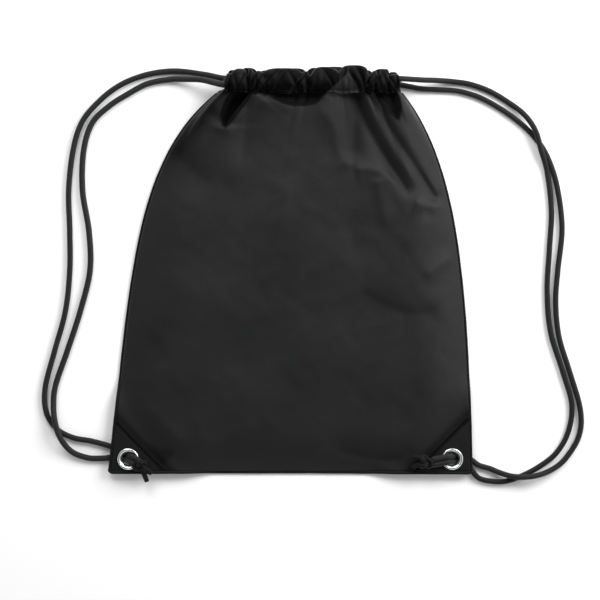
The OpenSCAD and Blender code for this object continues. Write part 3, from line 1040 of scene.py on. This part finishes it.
@dataclass
class FrontPanel(Panel):
    """The wall that is seen: it crowns over the contents' space and falls in pleats from the mouth."""

    layer: Layer = Layer.FRONT
    seam_z: float = 1.6
    crown: tuple[Spot, ...] = ((0, 10.5), (0.25, 13.5), (0.6, 15.5), (0.85, 18.0), (1, 20.4))
    side_slope: Spot = (48.0, 11.0)
    foot_slope: float = 34.0
    # Valley depth at which its painted shade is full.
    full_painted_shade_depth: float = 13.0
    folds: tuple[Fold, ...] = FRONT_FOLDS
    pockets: tuple[Pocket, ...] = FRONT_POCKETS

    def height(self, x: Array, y: Array) -> Array:
        """Height of the cloth's outer face at each place."""
        full = np.interp((y - OUTLINE.bottom) / OUTLINE.length, *zip(*self.crown))
        width = mix(*self.side_slope, ease((y - 70) / 96))
        inner = shoulder((x - OUTLINE.left(y)) / width) * shoulder((OUTLINE.right(y) - x) / width)
        inner = inner * shoulder((y - OUTLINE.bottom) / self.foot_slope)
        below = ease((OUTLINE.neck - y) / 5)
        relief = sum(fold.relief(x, y) for fold in self.folds)
        relief = relief + sum(pocket.relief(x, y) for pocket in self.pockets)
        relief = relief * below + 0.6 * ripples(x, y, 5, 120) * below
        relief = relief + 0.12 * ripples(x + 4 * ripples(x, y, 9, 40), y, 6, 26, 18) * below
        relief = relief + self.pleats(x, y)
        z = self.seam_z + full * inner + relief * np.minimum(1, inner * 1.6)
        return mix(np.maximum(z, 1.5), self.patch_z, self.corner(x, y))

    def hollow(self, x: Array, y: Array) -> Array:
        """How much painted shade each place gets, 0 to 1: in pockets and valleys, along the corner patches,
        under the hem and on the upper-left flank.
        """
        # Painted shade in the pockets and in the valleys of the folds, deeper valleys darker.
        pockets = sum(pocket.dark(x, y) for pocket in self.pockets)
        valleys = -sum(np.minimum(fold.relief(x, y), 0) for fold in self.folds) / self.full_painted_shade_depth
        # Painted shadow where the wall meets a corner patch's edge.
        edge = 0.6 * bell((OUTLINE.past_patch_edge(x, y) + 2.5) / 4.5)
        # Painted shade under the hem, lifted where the lit wedge is painted.
        hem = 0.5 * ease((y - 161) / 5) * (1 - painted_lit_wedge(x, y))
        # Painted shade on the upper-left flank, which is turned away from the light.
        beside = bell((x - OUTLINE.left(y)) / 21)
        flank = (0.45 + 0.4 * ease((y - 100) / 22)) * beside * ease((y - 55) / 60)
        return np.clip(pockets + valleys + edge + hem + flank, 0, 1)


@dataclass
class BackPanel(Panel):
    """The wall that lies on the floor."""

    layer: Layer = Layer.BACK
    mouth_lift: float = 2.4
    patch_z: float = 6.7
    corner_climb: Spot = (-16.0, -2.0)

    def height(self, x: Array, y: Array) -> Array:
        """Height of the cloth's outer face, which is its lower one, at each place."""
        up = ease((y - 120) / 46)
        edge = np.minimum(self.across(x, y), 1 - self.across(x, y))
        waves = 0.12 * (1 + ripples(x, y, 15, 60) / 2) * ease(edge / 0.08)
        lift = up * self.mouth_lift + np.maximum(self.pleats(x, y), -1.4 * up)
        z = waves + lift * ease(edge / 0.05)
        return mix(np.maximum(z, 0.05), self.patch_z, self.corner(x, y))


def shoulder(t: Array) -> Array:
    """A rounded rise from 0 to 1 over t = 0 to 1, steep at its start."""
    return np.sin(np.clip(t, 0, 1) * math.pi / 2) ** 0.85


# ---------------------------------------------------------------- drawcord channels


# Each crease of the front hem: its place across, how far it slants right for each mm up, its depth.
HEM_CREASES: tuple[Point, ...] = (
    (-57, 0.25, 1.0), (-51, -0.35, 0.8), (-45, 0.5, 1.1), (-39, -0.1, 1.2), (-34, 0.3, 0.9),
    (-28, 0.75, 1.2), (-20, 0.9, 1.0), (-9, 0.55, 0.6), (3, -0.6, 1.0), (9, 0.7, 1.2),
    (14, -0.25, 1.2), (24, 0.2, 0.7), (38, -0.5, 0.7), (49, 0.45, 1.1), (60, -0.6, 1.2),
    (67, -0.45, 0.9), (72, 0.2, 1.2), (77, 0.6, 0.9), (82, -0.35, 1.2), (88, -0.5, 0.8),
    (94, -0.7, 1.1), (99, 0.1, 1.0))


def creased(x: Array, y: Array, shift: float, width: float) -> Array:
    """How strong the hem's slanting creases are at each place.

    Args:
        x: places across.
        y: places along.
        shift: how far to the right of each crease its strength is given.
        width: half of a crease's breadth.

    Returns:
        Strengths, 0 between the creases to about 1 on them.
    """
    total = np.zeros_like(x, dtype=float)
    for at, slant, depth in HEM_CREASES:
        gap = x - at - shift - slant * (y - 175)
        total = np.maximum(total, depth * bell(gap / width))
    return total


@dataclass
class Channel:
    """The hem that is folded over the cords and sewn down below them."""

    layer: Layer
    finish: Graph
    left: float = -61.0
    right: float = 102.0
    tab_y: float = 164.5
    open_y: float = 166.9
    pitch: float = 0.9
    sides: int = 48
    cloth: float = 0.45
    cut: Spot = (342.0, 48.0)
    crease_width: float = 1.3
    # How far right of each crease its painted highlight lies.
    crest_shift: float = 2.2
    stitch_inset: float = 2.9

    @property
    def middle_z(self) -> float:
        """Height of the cords' centres."""
        return FRONT_CORD_Z if self.layer is Layer.FRONT else BACK_CORD_Z

    def low_edge(self, x: Array) -> Array:
        """Place of the hem's sewn-down edge along the bag."""
        return self.tab_y - 0.3 + 1.1 * ripples(x, np.zeros_like(x), 17, 26)

    def row_z(self, x: Array) -> Array:
        """Height of the sewn-down edge along the bag."""
        return self.middle_z + MOUTH_GATHER[self.layer].tuck(x)

    def build(self) -> Object:
        """Makes the sleeve.

        Returns:
            The sleeve.
        """
        columns = round((self.right - self.left) / self.pitch)
        bm, around, along = lattice(columns, self.sides)
        x = mix(self.left, self.right, along)
        gather = MOUTH_GATHER[self.layer]
        bulge, top = gather.bulge(x), gather.top(x)
        turn = 2 * math.pi * np.round(around * self.sides) / self.sides
        climb = (1 - np.cos(turn)) / 2
        face = np.where(np.sin(turn) >= 0, 1.0, -1.0) * (np.abs(np.sin(turn)) > 1e-6)
        low = self.low_edge(x)
        y = low + (top - low) * climb
        opened = np.clip((y - self.open_y) / (top - self.open_y), 0, 1)
        swell = np.sin(math.pi * opened ** 0.85) ** 0.5
        front = self.layer is Layer.FRONT
        creases = creased(x, y, 0.0, self.crease_width)
        thin, thick, rough = (5.6, 6.3, 0.5) if front else (3.6, 4.2, 0.2)
        half = mix(thin, thick, bulge) + rough * ripples(x + 0.5 * (y - 175), y * 0.45, 21, 13)
        if front:
            half = np.maximum(half - 1.5 * creases, 4.6)
        depth = 0.55 * face + face * (half - 0.55) * swell
        sway = bell((y - self.tab_y) / 11)
        z = self.middle_z + depth + gather.tuck(x) * sway
        lean = (y - self.tab_y) * 0.16 * np.sin(x / 11.0 + 0.8) * opened
        spots = np.column_stack([x + lean, y, z])
        if not front:
            spots[:, 2] = np.maximum(spots[:, 2], 0.1)
        place(bm, spots)
        write_uv(bm, np.column_stack([along * self.cut[0], around * self.cut[1]]) * MM)
        # Painted light on the hem: the whole sleeve is painted in shade except for painted highlights on the
        # lobes' tops, just right of each crease, and on the front's lit wedge.
        lit = bulge ** 2 * ease((y - 166) / 9) * (0.2 + 0.2 * ripples(x + 0.4 * y, 0.5 * y, 41, 22))
        lit = np.maximum(lit, 0.3 * creased(x, y, -self.crest_shift, self.crease_width))
        lit = lit * (1 - 0.8 * np.clip(creases, 0, 1))
        lit = np.maximum(lit, painted_lit_wedge(x, y) if front else 0)
        write_painted_shade(bm, np.clip(1.0 - lit, 0, 1))
        bmesh.ops.remove_doubles(bm, verts=bm.verts, dist=1e-7)
        bmesh.ops.recalc_face_normals(bm, faces=bm.faces)
        obj = finish_mesh(self.layer.named("hem_channel"), bm)
        thicken(obj, self.cloth, -1.0)
        return settle(obj, self.finish, "nylon", self.layer.named("channel"))


# ---------------------------------------------------------------- seams


@dataclass
class Seam:
    """A rolled, sewn edge where the two walls meet."""

    name: str
    node: str
    line: Array
    finish: Graph
    half_width: float = 1.35
    half_height: float = 1.0
    sides: int = 14

    def build(self) -> Object:
        """Makes the edge, drawn in slightly at every stitch.

        Returns:
            The edge.
        """
        line = spline([tuple(p) for p in self.line], 0.75)
        angle = 2 * math.pi * np.arange(self.sides) / self.sides
        run = lengths(line)[:, None]
        drawn = 1 - 0.11 * np.cos(run * math.pi / STITCH_PITCH) ** 8
        wander = 1 + 0.05 * np.sin(run / 17) + 0.03 * np.sin(run / 5.3)
        ridge = 1 + 0.10 * np.cos(3 * angle)[None]
        across = self.half_width * np.cos(angle)[None] * drawn * wander
        upward = self.half_height * np.sin(angle)[None] * drawn * ridge
        bm = sweep(line, across, upward, (0.011, 0.001), np.ones((len(line), self.sides)))
        return settle(finish_mesh(self.name, bm), self.finish, "seam", self.node)


def seam_line(x: Array, y: Array) -> Array:
    """Centre line of a seam over the given places, with the CAD seam's rise at the corners."""
    rise = ease((OUTLINE.past_patch_edge(x, y) + 32) / 24)
    return np.column_stack([x, y, mix(1.6, 7.4, rise)])


# ---------------------------------------------------------------- corner patches


@dataclass
class Patch:
    """A reinforcing triangle of nylon sewn over a bottom corner, its inner edge folded under."""

    side: Side
    layer: Layer
    finish: Graph
    rows: int = 72
    columns: int = 44
    cloth: float = 0.5

    def surface(self, x: Array, y: Array) -> Array:
        """Height of the patch's outer face."""
        past = OUTLINE.past_patch_edge(x, y)
        if self.layer is Layer.BACK:
            return 6.1 - 0.08 * ripples(x, y, 31, 20)
        roll = 0.15 * np.exp(-((past - 4.0) / 3.2) ** 4)
        groove = 0.3 * bell((past - 3.0) / 0.9)
        rest = 8.75 + 0.14 * ripples(x, y, 33 + self.side.value, 22)
        return rest + roll - groove - 0.5 * ease((2.0 - past) / 2.4)

    def build(self) -> Object:
        """Makes the patch.

        Returns:
            The patch.
        """
        s = self.side.value
        w, h = OUTLINE.patch_w, OUTLINE.patch_h
        bm, across, along = lattice(self.rows, self.columns)
        edge_y = OUTLINE.bottom + 3.0
        reach = OUTLINE.bottom + h
        inner = np.column_stack([OUTLINE.half_width - w + w * along, OUTLINE.bottom + h * along])
        inner[:, 1] = np.maximum(inner[:, 1], edge_y)
        turned = along * 2
        low_x = mix(OUTLINE.half_width - w, OUTLINE.half_width - 3.5, np.clip(turned, 0, 1))
        high_y = mix(edge_y, reach, np.clip(turned - 1, 0, 1))
        side_x = s * (OUTLINE.right(high_y) if s > 0 else OUTLINE.left(high_y)) - 3.2
        outer = np.column_stack([np.minimum(low_x, side_x), high_y])
        inner[:, 0] = np.minimum(inner[:, 0], side_x)
        spot = inner + (outer - inner) * across[:, None]
        x, y = spot[:, 0] * s, spot[:, 1]
        place(bm, np.column_stack([x, y, self.surface(x, y)]))
        write_uv(bm, spot * MM)
        # Painted shadow along the patch's diagonal edge, where the wall rises over it.
        past = OUTLINE.past_patch_edge(x, y)
        write_painted_shade(bm, 0.9 * bell((past - 0.6) / 2.0) + 0.5 * bell((past - 3.0) / 0.8))
        bmesh.ops.remove_doubles(bm, verts=bm.verts, dist=0.02 * MM)
        bmesh.ops.dissolve_degenerate(bm, edges=bm.edges, dist=0.01 * MM)
        punch(bm)
        bmesh.ops.recalc_face_normals(bm, faces=bm.faces)
        up = sum(f.normal.z * f.calc_area() for f in bm.faces)
        if (up > 0) != (self.layer is Layer.FRONT):
            bmesh.ops.reverse_faces(bm, faces=bm.faces)
        obj = finish_mesh(self.side.named(f"{self.layer.value}_corner_patch"), bm)
        thicken(obj, self.cloth, -1.0)
        settle(obj, self.finish, "nylon_patch", self.side.named(f"patch_{self.layer.value}"))
        return obj


# ---------------------------------------------------------------- eyelets and knots


@dataclass
class Eyelet:
    """A two-part nickel eyelet: a domed flange and barrel, and the washer below."""

    side: Side
    finish: Graph
    steps: int = 72
    section: tuple[Spot, ...] = (
        (5.75, 5.15), (5.75, 7.6), (6.0, 8.5), (6.6, 9.3), (7.4, 10.0), (8.1, 10.5), (8.8, 10.75),
        (9.5, 10.55), (10.0, 10.0), (10.2, 9.3), (9.95, 8.85), (9.1, 9.0), (7.2, 9.0), (6.5, 8.2), (6.4, 7.8),
        (6.4, 6.0), (9.3, 6.0), (9.5, 5.75), (9.3, 5.5), (7.0, 5.2), (6.2, 5.0))

    def build(self) -> Object:
        """Spins the section round the eyelet's axis.

        Returns:
            The eyelet.
        """
        bm = bmesh.new()
        ring = [bm.verts.new((r * MM, 0, z * MM)) for r, z in self.section]
        edges = [bm.edges.new((a, b)) for a, b in zip(ring, ring[1:] + ring[:1])]
        bmesh.ops.spin(bm, geom=ring + edges, cent=(0, 0, 0), axis=(0, 0, 1), angle=2 * math.pi,
                       steps=self.steps, use_merge=False)
        bmesh.ops.remove_doubles(bm, verts=bm.verts, dist=0.001 * MM)
        bmesh.ops.recalc_face_normals(bm, faces=bm.faces)
        at = (self.side.value * EYELET[0] * MM, EYELET[1] * MM, 0)
        bmesh.ops.translate(bm, verts=bm.verts, vec=at)
        obj = finish_mesh(self.side.named("nickel_eyelet"), bm)
        return settle(obj, self.finish, "nickel", self.side.named("eyelet"), self.side.named("eyelet_washer"))


@dataclass
class Knot:
    """An overhand knot that both ends of a cord are tied in, with two short tails."""

    side: Side
    middle: Point
    tails: list[list[Point]]
    turn: tuple[float, float, float]
    finish: Graph
    size: float = 2.0
    flatten: float = 1.15
    phase: float = 0.35
    radius: float = 2.05
    tail_radius: float = 2.3
    braid: Braid = Braid(sides=18, strands=6, repeat=7.0, relief=0.42)

    def build(self) -> Object:
        """Makes the knot.

        Returns:
            The knot.
        """
        t = np.linspace(0, 2 * math.pi, 14, endpoint=False) + self.phase
        loop = np.column_stack([np.sin(t) + 2 * np.sin(2 * t), np.cos(t) - 2 * np.cos(2 * t),
                                -self.flatten * np.sin(3 * t)]) * self.size
        tilt = np.array(Matrix.Rotation(self.turn[2], 3, "Z") @ Matrix.Rotation(self.turn[1], 3, "Y")
                        @ Matrix.Rotation(self.turn[0], 3, "X"))
        loop = loop @ tilt.T + np.array(self.middle)
        closed = [tuple(p) for p in loop] + [tuple(loop[0] + (0, 0, 0.2))]
        runs = [(spline(closed, 0.5), self.radius)] + [(spline(t, 0.6), self.tail_radius) for t in self.tails]
        bm = bmesh.new()
        for line, radius in runs:
            piece = braided_tube("strand", line, radius, self.braid)
            bm.from_mesh(piece.data)
            bpy.data.objects.remove(piece)
        obj = finish_mesh(self.side.named("overhand_knot"), bm)
        return settle(obj, self.finish, "cord", self.side.named("knot"))


# ---------------------------------------------------------------- stitching


@dataclass
class StitchRow:
    """A row of lockstitches that sit in the cloth."""

    name: str
    node: str
    spots: Array
    finish: Graph
    width: float = 0.26
    fill: float = 0.74

    def build(self) -> Object:
        """Makes one rounded thread from each place to the next.

        Returns:
            The row.
        """
        bm = bmesh.new()
        for a, b in zip(self.spots, self.spots[1:]):
            thread(bm, a, b, self.width, self.fill)
        return settle(finish_mesh(self.name, bm), self.finish, "thread", self.node)


def thread(bm: BMesh, a: Array, b: Array, width: float, fill: float) -> None:
    """Adds one visible stitch.

    Args:
        bm: the mesh to add to.
        a: where it goes down, in millimetres.
        b: where the next one starts.
        width: the thread's radius.
        fill: the share of the distance that shows.
    """
    way = Vector(b - a)
    turn = way.to_track_quat("X", "Z").to_matrix().to_4x4()
    middle = Vector((a + b) / 2) * MM
    shape = Matrix.Diagonal((way.length * fill / 2 * MM, width * MM, width * 0.85 * MM, 1))
    bmesh.ops.create_uvsphere(bm, u_segments=8, v_segments=6, radius=1,
                              matrix=Matrix.Translation(middle) @ turn @ shape)


@dataclass
class BarTack:
    """Close zigzag stitching that locks both ends of a channel's row."""

    side: Side
    finish: Graph
    x: float
    rows: int = 9
    breadth: float = 2.0
    pitch: float = 0.38
    width: float = 0.24

    def build(self, channels: list[Channel]) -> Object:
        """Makes the tacks on both channels.

        Args:
            channels: the channels that they hold.

        Returns:
            The tacks.
        """
        bm = bmesh.new()
        for channel in channels:
            x = np.array([self.x, self.x + self.breadth])
            level = channel.row_z(x) + 0.75
            for i in range(self.rows):
                y = 166.0 + self.pitch * i
                a = np.array([x[0], y, level[0]])
                b = np.array([x[1], y + self.pitch / 2, level[1]])
                thread(bm, a, b, self.width, 1.0)
        obj = finish_mesh(self.side.named("bar_tacks"), bm)
        return settle(obj, self.finish, "thread", self.side.named("channel_bartacks"))


# ---------------------------------------------------------------- the backpack


@dataclass
class Backpack:
    """The whole bag, built in order: cords, walls with their channels, seams and corners."""

    nylon: Graph = field(default_factory=lambda: NylonFinish("black_nylon").build())
    # The hem's finish goes nearly black at full painted shade.
    hem: Graph = field(default_factory=lambda: NylonFinish(
        "black_nylon_hem", crumple_depth=0.25 * MM, hollow_shade=0.05).build())
    patch: Graph = field(default_factory=lambda: NylonFinish(
        "black_nylon_patch", dark=(0.0058, 0.0060, 0.0065), light=(0.0088, 0.0090, 0.0096), roughness=0.48,
        thread=0.6 * MM, crumple_depth=0.15 * MM, specular=0.1).build())
    seam: Graph = field(default_factory=lambda: NylonFinish(
        "seam_nylon", dark=(0.0056, 0.0058, 0.0062), light=(0.0088, 0.0090, 0.0095), thread=0.6 * MM,
        crumple_depth=0.12 * MM, specular=0.08).build())
    braid: Graph = field(default_factory=lambda: BraidFinish("braided_cord").build())
    # A darker, less shiny copy of the cord finish for the knots: painted shade on the tied braid.
    tied: Graph = field(default_factory=lambda: BraidFinish(
        "tied_braid", light=(0.0095, 0.0097, 0.0102), specular=0.1, sheen=0.03).build())
    nickel: Graph = field(default_factory=lambda: NickelFinish().build())
    sewing: Graph = field(default_factory=lambda: ThreadFinish().build())

    def build(self) -> None:
        """Builds every piece."""
        self.cords()
        self.walls()
        self.edges()
        self.corners()

    def cords(self) -> None:
        """Both drawcords and their knots."""
        left_knot = Knot(Side.LEFT, (-139.5, -182.5, 15.2), LEFT_TAILS, (0.5, -0.35, 0.4), self.tied).build()
        right_knot = Knot(Side.RIGHT, (126, -179, 15.2), RIGHT_TAILS, (-0.3, 0.4, 1.2), self.tied).build()
        left = (LEFT_UPPER_END[::-1] + LEFT_OUTER[::-1] + channel_run(-50, 91, 180, 171.6)
                + LEFT_INNER + LEFT_LOWER_END)
        right = (RIGHT_UPPER_END[::-1] + RIGHT_OUTER[::-1] + channel_run(91, -50, 174, 177.2)
                 + RIGHT_INNER + RIGHT_LOWER_END)
        Drawcord(Side.LEFT, left, (-74, 180), (-178, -168), (-0.958, 0.288), self.braid).build(left_knot)
        Drawcord(Side.RIGHT, right, (114, 176), (178, -187), (0.985, 0.174), self.braid).build(right_knot)

    def walls(self) -> None:
        """Both walls with their channels and the rows that close them."""
        channels = []
        for layer, kind in ((Layer.BACK, BackPanel), (Layer.FRONT, FrontPanel)):
            channel = Channel(layer, self.hem)
            channels.append(channel)
            sleeve = channel.build()
            wall = kind(finish=self.nylon)
            sheet = wall.build()
            x = np.arange(-59, 101, STITCH_PITCH)
            raised = channel.row_z(x) + (0.72 if layer is Layer.FRONT else 0.8)
            spots = np.column_stack([x, channel.low_edge(x) + channel.stitch_inset, raised])
            row = StitchRow(layer.named("channel_stitches"), layer.named("channel_stitching"), spots,
                            self.sewing).build()
        BarTack(Side.LEFT, self.sewing, -60.2).build(channels)
        BarTack(Side.RIGHT, self.sewing, 99.4).build(channels)

    def edges(self) -> None:
        """The side seams and the bottom seam."""
        y = np.linspace(-186.4, OUTLINE.neck, 90)
        for side, edge in ((Side.LEFT, OUTLINE.left(y)), (Side.RIGHT, OUTLINE.right(y))):
            Seam(side.named("rolled_seam"), side.named("side_seam"),
                 seam_line(edge - side.value * SEAM_INSET, y), self.seam).build()
        turn, bend, low = np.radians(np.arange(0, 91, 15)), 3.0, OUTLINE.bottom + SEAM_INSET
        round_x, round_y = 166.4 + bend * np.sin(turn), low + bend * (1 - np.cos(turn))
        x = np.concatenate([-round_x[::-1], np.linspace(-165, 165, 110), round_x])
        y = np.concatenate([round_y[::-1], np.full(110, low), round_y])
        y = y - 0.75 - 0.45 * ease((x + 20) / 150)
        Seam("bottom_rolled_seam", "bottom_seam", seam_line(x, y), self.seam, half_width=1.6).build()

    def corners(self) -> None:
        """The patches, eyelets and patch stitching of both corners."""
        for side in Side:
            patches = [Patch(side, layer, self.patch) for layer in Layer]
            for patch in patches:
                patch.build()
            w, h = OUTLINE.patch_w, OUTLINE.patch_h
            run, slope, inset = np.arange(8.0, 66.0, STITCH_PITCH), math.hypot(w, h), 3.0
            x = OUTLINE.half_width - w + (w * run + inset * h) / slope
            y = OUTLINE.bottom + (h * run - inset * w) / slope
            keep = y > OUTLINE.bottom + 3.5
            x, y = side.value * x[keep], y[keep]
            spots = np.column_stack([x, y, patches[-1].surface(x, y) + 0.12])
            StitchRow(side.named("patch_stitches"), side.named("patch_stitching"), spots, self.sewing).build()
            Eyelet(side, self.nickel).build()


def main() -> None:
    """Builds the backpack in its studio."""
    logging.basicConfig(level=logging.INFO, format="%(name)s: %(message)s")
    Studio().build()
    Backpack().build()


if __name__ == "__main__":
    main()
